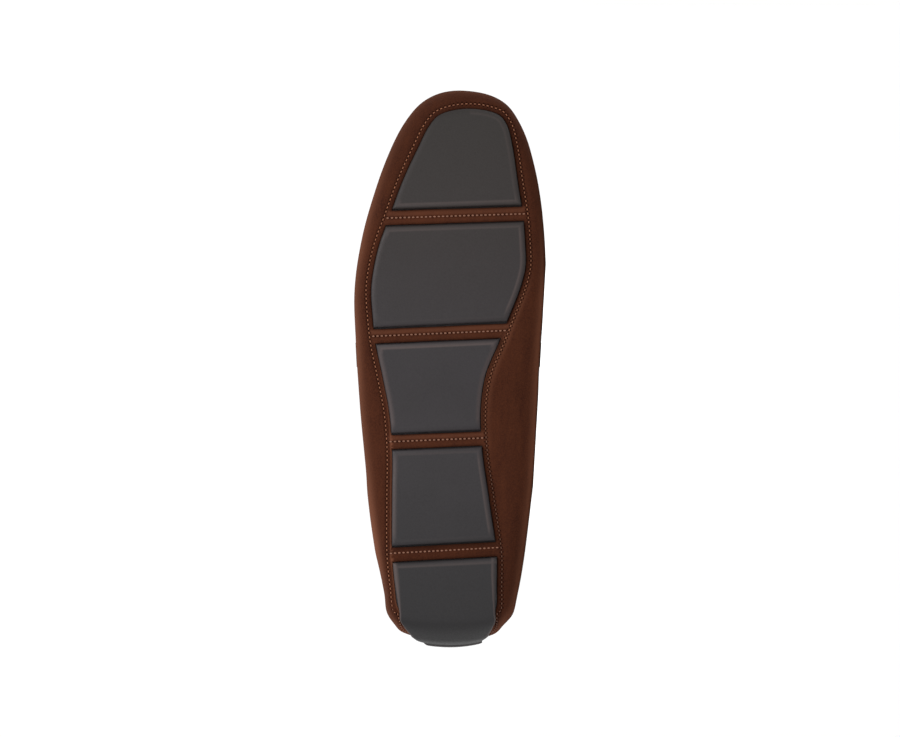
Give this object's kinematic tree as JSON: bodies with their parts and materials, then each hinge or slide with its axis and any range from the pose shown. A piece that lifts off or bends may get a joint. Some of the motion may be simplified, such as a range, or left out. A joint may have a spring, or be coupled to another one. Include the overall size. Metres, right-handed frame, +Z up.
{
  "type": "loafer",
  "caption": "Right driving loafer: soft suede upper that wraps under the foot, moulded rubber sole whose pads stand through windows in it, saddle strap, footbed; lies on its side.",
  "frame": {"origin": "on the floor under the middle of the shoe's box, with the shoe lying on its medial side", "axes": "+X from the heel to the toe, -Y out of the sole, +Z up, which is the shoe's lateral side"},
  "size_m": [0.286, 0.0854, 0.0971],
  "materials": {
    "suede": "brown suede, brushed nap",
    "rubber": "moulded, satin, dark warm grey",
    "lining_leather": "smooth tan lining leather"
  },
  "bodies": {
    "root": {"upper": "suede", "rubber_sole": "rubber", "insole": "lining_leather", "saddle_strap": "suede", "side_roll_lateral": "suede", "side_roll_medial": "suede"}
  },
  "joints": []
}
